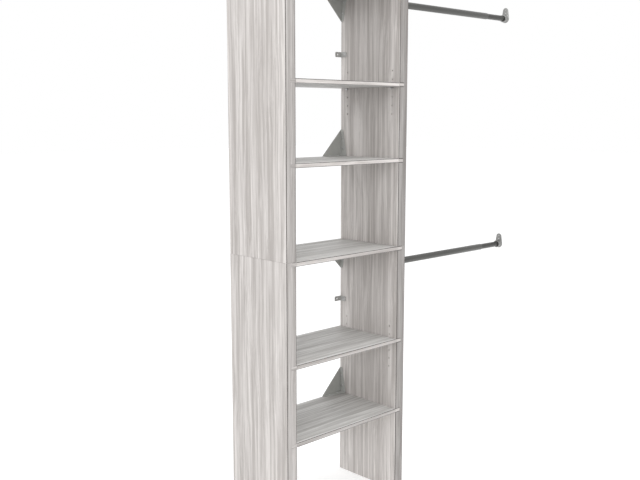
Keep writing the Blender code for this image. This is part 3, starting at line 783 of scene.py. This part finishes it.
def make_fittings():
    pin = shelf_pin()
    cam = cam_fitting()
    for level in LEVELS:
        for side, inward in SIDES.items():
            for row in ROWS:
                node = f"{level}_{side}_{row}_shelf_pin"
                seat = (inner_face(level, side), *middle_line(node))
                stand_for(copy_to(pin, Matrix.Translation(seat) @ turn_to((inward, 0, 0))), node, zinc_plate)
                for end in ENDS:
                    node = f"{level}_{end}_{side}_{row}_cam_fitting"
                    seat = (*cam_axis(node, side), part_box(node)[0].z)
                    turn = Matrix.Rotation(0 if side == "left" else math.pi, 4, "Z")
                    stand_for(copy_to(cam, Matrix.Translation(seat) @ turn), node, zinc_plate)
    discard(pin, cam)
    for side in SIDES:
        for row in ROWS:
            for slot in frame["nodes"][f"{side}_{row}_stacking_dowel"].material_slots:
                slot.material = beech


# Corner gussets


def gusset():
    """A pressed brace in the corner of x = 0, y = 0 and z = 0: a web at the back and two tapered flanges."""
    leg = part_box("lower_bottom_left_gusset")[1].x - inner_face("lower", "left")
    corner, tip = GUSSET_DEPTHS

    def is_open(face):
        return max(face.normal.x, -face.normal.y, face.normal.z) > LOOKS_ALONG

    def is_tip(vert):
        return len(vert.link_edges) == 2 and vert.co.y < -GUSSET_FOLD and max(vert.co.x, vert.co.z) > leg / 2

    brace = box_piece((SEAT_GAP, -corner, SEAT_GAP), (leg, 0, leg))
    edit(brace)
    choose("FACE", is_open)
    bpy.ops.mesh.delete(type="FACE")
    bpy.ops.mesh.select_all(action="SELECT")
    bpy.ops.mesh.bisect(plane_co=(leg, 0, 0), plane_no=(1, 0, 1), clear_outer=True)
    taper = Vector((leg, corner - tip, 0)).cross(Vector((0, corner - tip, leg)))
    if taper.y > 0:
        taper.negate()
    bpy.ops.mesh.select_all(action="SELECT")
    bpy.ops.mesh.bisect(plane_co=(0, -corner, 0), plane_no=taper, clear_outer=True)
    round_corners(is_tip, GUSSET_TIP_ROUND, GUSSET_TIP_STEPS)
    round_edges(lambda edge: len(edge.link_faces) == 2, GUSSET_FOLD, GUSSET_FOLD_STEPS)
    leave_edit()
    thicken(brace, GUSSET_GAUGE)
    ease_burrs(brace)
    smooth(brace)
    return brace, leg


def gusset_screws(head, leg):
    """The four screw heads of a gusset, two on each flange."""
    corner, tip = GUSSET_DEPTHS
    rise = SEAT_GAP + GUSSET_GAUGE
    heads = []
    for share in GUSSET_SCREW_SHARES:
        back = -(corner + (tip - corner) * share) / 2
        for seat, look in (((rise, back, leg * share), (1, 0, 0)), ((leg * share, back, rise), (0, 0, 1))):
            turn = turn_to(look) @ Matrix.Rotation(share * GUSSET_SCREW_TURN, 4, "Z")
            heads.append(copy_to(head, Matrix.Translation(seat) @ turn))
    return joined(heads)


def make_gussets(head):
    brace, leg = gusset()
    screws = gusset_screws(head, leg)
    for level in LEVELS:
        for end, rise in ENDS.items():
            shelf_low, shelf_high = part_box(f"{level}_{end}_shelf")
            seat = shelf_high.z if end == "bottom" else shelf_low.z
            for side, inward in SIDES.items():
                node = f"{level}_{end}_{side}_gusset"
                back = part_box(f"{level}_{side}_side_panel")[1].y
                place = Matrix.Translation((inner_face(level, side), back, seat))
                place = place @ Matrix.Diagonal((inward, 1, rise, 1))
                stand_for(copy_to(brace, place), node, brace_coat)
                dress_screws(copy_to(screws, place), node, "_screws")
    discard(brace, screws)


# Angle brackets


def wall_bracket():
    """An angle bracket in the corner of x = 0 and y = 0, with a round hole in the leg along X."""
    low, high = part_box("lower_left_wall_bracket")
    wall_leg = high.x - inner_face("lower", "left")
    panel_leg = high.y - low.y
    half = (high.z - low.z) / 2
    angle = box_piece((SEAT_GAP, -panel_leg, -half), (wall_leg, 0, half))
    edit(angle)
    choose("FACE", lambda face: max(face.normal.x, -face.normal.y, abs(face.normal.z)) > LOOKS_ALONG)
    bpy.ops.mesh.delete(type="FACE")
    round_corners(lambda vert: len(vert.link_edges) == 2, BRACKET_END_ROUND, BRACKET_END_STEPS)
    round_edges(lambda edge: len(edge.link_faces) == 2, BRACKET_FOLD, BRACKET_FOLD_STEPS)
    leave_edit()
    thicken(angle, BRACKET_GAUGE)
    hole = rod_piece((wall_leg * BRACKET_SCREW_SHARE, -2 * BRACKET_GAUGE, 0), (0, 1, 0), BRACKET_HOLE_RADIUS,
                     3 * BRACKET_GAUGE, BRACKET_HOLE_SIDES)
    carve(angle, hole)
    ease_burrs(angle)
    smooth(angle)
    return angle, panel_leg


def make_wall_brackets(head):
    angle, panel_leg = wall_bracket()
    seat = (SEAT_GAP + BRACKET_GAUGE, -panel_leg * BRACKET_SCREW_SHARE, 0)
    screw = copy_to(head, Matrix.Translation(seat) @ turn_to((1, 0, 0)))
    for level in LEVELS:
        for side, inward in SIDES.items():
            node = f"{level}_{side}_wall_bracket"
            height = middle_line(node)[1]
            place = Matrix.Translation((inner_face(level, side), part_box(node)[1].y, height))
            place = place @ Matrix.Diagonal((inward, 1, 1, 1))
            stand_for(copy_to(angle, place), node, bracket_coat)
            dress_screws(copy_to(screw, place), node, "_screw")
    discard(angle, screw)


# Hanging rods


def rolled_tube(node):
    """A thin tube whose two rims are rolled in a little."""
    low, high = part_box(node)
    radius = tube_radius(node)
    axis = middle_line(node)
    reach = LIP_STEPS[-1][0]
    tube = rod_piece((low.x + reach, *axis), (1, 0, 0), radius, high.x - low.x - 2 * reach, TUBE_SIDES,
                     "NOTHING")
    edit(tube)
    for end, outward in ((low.x, -1), (high.x, 1)):
        rim = end - outward * reach
        for (before, drawn), (after, drawn_next) in zip(LIP_STEPS, LIP_STEPS[1:]):
            choose("EDGE", lambda edge: at_rim(edge, 0, rim))
            step = outward * (after - before)
            bpy.ops.mesh.extrude_edges_move(TRANSFORM_OT_translate={"value": (step, 0, 0)})
            rim += step
            share = (radius - drawn_next) / (radius - drawn)
            bpy.ops.transform.resize(value=(1, share, share), center_override=(rim, *axis))
    leave_edit()
    thicken(tube, TUBE_WALL)
    smooth(tube)
    return tube


def drop_plate():
    """A drop-shaped plate on z = 0: the hull of two discs, with eased edges."""
    foot = rod_piece((0, 0, 0), (0, 0, 1), PLATE_FOOT_RADIUS, PLATE_GAUGE, PLATE_SIDES)
    top = rod_piece((0, PLATE_HEAD_RISE, 0), (0, 0, 1), PLATE_HEAD_RADIUS, PLATE_GAUGE, PLATE_SIDES)
    plate = joined([foot, top])
    edit(plate)
    bpy.ops.mesh.select_all(action="SELECT")
    bpy.ops.mesh.convex_hull()
    bpy.ops.mesh.dissolve_limited(angle_limit=FLAT_ANGLE)
    round_edges(lambda edge: at_rim(edge, 2, PLATE_GAUGE), PLATE_ROUND, PLATE_ROUND_STEPS)
    leave_edit()
    return plate


def socket_cup(cup_radius, cup_depth):
    """A round cup that stands in the plate on a filleted foot, not yet bored."""
    height, width = PLATE_GAUGE, cup_radius + CUP_FILLET
    cup = rod_piece((0, 0, PLATE_GAUGE / 2), (0, 0, 1), width, PLATE_GAUGE / 2, CUP_SIDES)
    edit(cup)
    for step in range(1, CUP_FILLET_STEPS + 1):
        turn = math.pi / 2 * step / CUP_FILLET_STEPS
        out = cup_radius + CUP_FILLET * (1 - math.sin(turn))
        up = PLATE_GAUGE + CUP_FILLET * (1 - math.cos(turn))
        choose("FACE", lambda face: at_rim(face, 2, height))
        extrude_along(2, up - height)
        bpy.ops.transform.resize(value=(out / width, out / width, 1), center_override=(0, 0, up))
        height, width = up, out
    rim = PLATE_GAUGE + cup_depth
    extrude_along(2, rim - height)
    round_edges(lambda edge: at_rim(edge, 2, rim), CUP_LIP, CUP_LIP_STEPS)
    leave_edit()
    return cup


def rod_socket(radius, cup_depth, cup_radius):
    """A socket on z = 0: a drop-shaped plate and a cup that is bored for its tube."""
    plate = drop_plate()
    carve(plate, socket_cup(cup_radius, cup_depth), "UNION")
    bore = rod_piece((0, 0, PLATE_GAUGE), (0, 0, 1), radius + SEAT_GAP, cup_depth + CUT_OVERRUN, CUP_SIDES)
    carve(plate, bore)
    return plate


def make_rods(head):
    outer_radius = tube_radius("lower_rod_outer_tube")
    low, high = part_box("lower_rod_wall_bracket")
    cup_depth = high.x - low.x - PLATE_GAUGE
    cup_radius = outer_radius + SEAT_GAP + CUP_WALL
    tower_socket = rod_socket(outer_radius, cup_depth, cup_radius)
    wall_socket = rod_socket(tube_radius("lower_rod_inner_tube"), cup_depth, cup_radius)
    hole_depth = PLATE_GAUGE + 2 * CUT_OVERRUN
    holes = [rod_piece((0, rise, -CUT_OVERRUN), (0, 0, 1), PLATE_HOLE_RADIUS, hole_depth, PLATE_HOLE_SIDES)
             for rise in PLATE_SCREW_RISES]
    carve(wall_socket, joined(holes))
    screws = joined([copy_to(head, Matrix.Translation((0, rise, PLATE_GAUGE))) for rise in PLATE_SCREW_RISES])
    for level in LEVELS:
        for tube, plate in rod_plates.items():
            node = f"{level}_rod_{tube}_tube"
            stand_for(rolled_tube(node), node, plate)
        axis = middle_line(f"{level}_rod_outer_tube")
        tower_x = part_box(f"{level}_right_side_panel")[1].x + SEAT_GAP
        wall_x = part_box(f"{level}_rod_wall_bracket")[1].x
        for node, socket, x, facing in ((f"{level}_rod_tower_bracket", tower_socket, tower_x, 1),
                                        (f"{level}_rod_wall_bracket", wall_socket, wall_x, -1)):
            upright = Matrix(((0, 0, facing, 0), (facing, 0, 0, 0), (0, 1, 0, 0), (0, 0, 0, 1)))
            place = Matrix.Translation((x, *axis)) @ upright
            piece = copy_to(socket, place)
            smooth(piece)
            stand_for(piece, node, socket_plate)
            if facing > 0:
                dress_screws(copy_to(screws, place), node, "_screws")
    discard(tower_socket, wall_socket, screws)


# Floor, light and camera


def seen_ray(tree):
    """One for the rays that show the background itself: to the eye, in metal and through glass."""
    ray = tree.nodes.new("ShaderNodeLightPath")
    seen = math_node(tree, "ADD", ray.outputs["Is Camera Ray"], ray.outputs["Is Glossy Ray"])
    return math_node(tree, "ADD", seen, ray.outputs["Is Transmission Ray"], clamp=True)


def floor_finish():
    """Plain white that keeps the object's shadow.

    It throws back less light than it shows, and least away from the object.
    """
    finish = bpy.data.materials.new("floor_white")
    finish.use_nodes = True
    tree = finish.node_tree
    tree.nodes.remove(tree.nodes["Principled BSDF"])
    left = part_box("lower_left_side_panel")[0].x
    panel_low, panel_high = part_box("lower_right_side_panel")
    centre = ((left + panel_high.x) / 2, (panel_low.y + panel_high.y) / 2, 0)
    reach = shader_node(tree, "ShaderNodeVectorMath", {0: object_coordinates(tree), 1: centre},
                        operation="DISTANCE")
    near = spread(tree, reach.outputs["Value"], *BOUNCE_REACH, 1.0, 0.0)
    seen = seen_ray(tree)
    white = spread(tree, math_node(tree, "MAXIMUM", near, seen), 0, 1, FLOOR_FAR, FLOOR_WHITE)
    matt = shader_node(tree, "ShaderNodeBsdfDiffuse", {"Color": white})
    strength = math_node(tree, "MAXIMUM", math_node(tree, "MULTIPLY", near, BOUNCE_GLOW),
                         math_node(tree, "MULTIPLY", seen, FLOOR_GLOW))
    glow = shader_node(tree, "ShaderNodeEmission", {"Strength": strength})
    both = shader_node(tree, "ShaderNodeAddShader", {0: matt.outputs[0], 1: glow.outputs[0]})
    tree.links.new(both.outputs[0], tree.nodes["Material Output"].inputs["Surface"])
    return finish


def white_stage():
    """A white floor under a plain white sky, which lights a little less than it shows."""
    bpy.ops.mesh.primitive_plane_add(size=FLOOR_SIZE)
    floor = bpy.context.object
    floor.name = "floor"
    floor.data.materials.append(floor_finish())
    sky = bpy.data.worlds.new("studio")
    sky.use_nodes = True
    tree = sky.node_tree
    background = tree.nodes["Background"]
    background.inputs["Color"].default_value = (1, 1, 1, 1)
    tree.links.new(spread(tree, seen_ray(tree), 0, 1, SKY_LEVEL, 1.0), background.inputs["Strength"])
    bpy.context.scene.world = sky


def soft_lamp(name, place, target, size, power):
    """A soft box that looks at a point."""
    bpy.ops.object.light_add(type="AREA", location=place)
    lamp = bpy.context.object
    lamp.name = name
    lamp.data.size = size
    lamp.data.energy = power
    lamp.rotation_euler = (Vector(target) - Vector(place)).to_track_quat("-Z", "Y").to_euler()


def photo_camera():
    """The camera at the photo's viewing angle and framing."""
    panel_low, panel_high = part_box("lower_left_side_panel")
    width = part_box("lower_right_side_panel")[1].x - panel_low.x
    edge = Vector((panel_low.x, panel_low.y, panel_high.z))
    bpy.ops.object.camera_add(location=edge + Vector(CAMERA_OFFSET_SHARES) * width,
                              rotation=(CAMERA_TILT, 0, CAMERA_TURN))
    camera = bpy.context.object
    camera.data.lens = CAMERA_LENS
    bpy.context.scene.camera = camera


make_boards()
make_fittings()
pan_head = screw_head()
make_gussets(pan_head)
make_wall_brackets(pan_head)
make_rods(pan_head)
discard(pan_head)
white_stage()
for lamp_name, lamp_values in LAMPS.items():
    soft_lamp(lamp_name, *lamp_values)
photo_camera()
bpy.context.scene.view_settings.view_transform = "Standard"
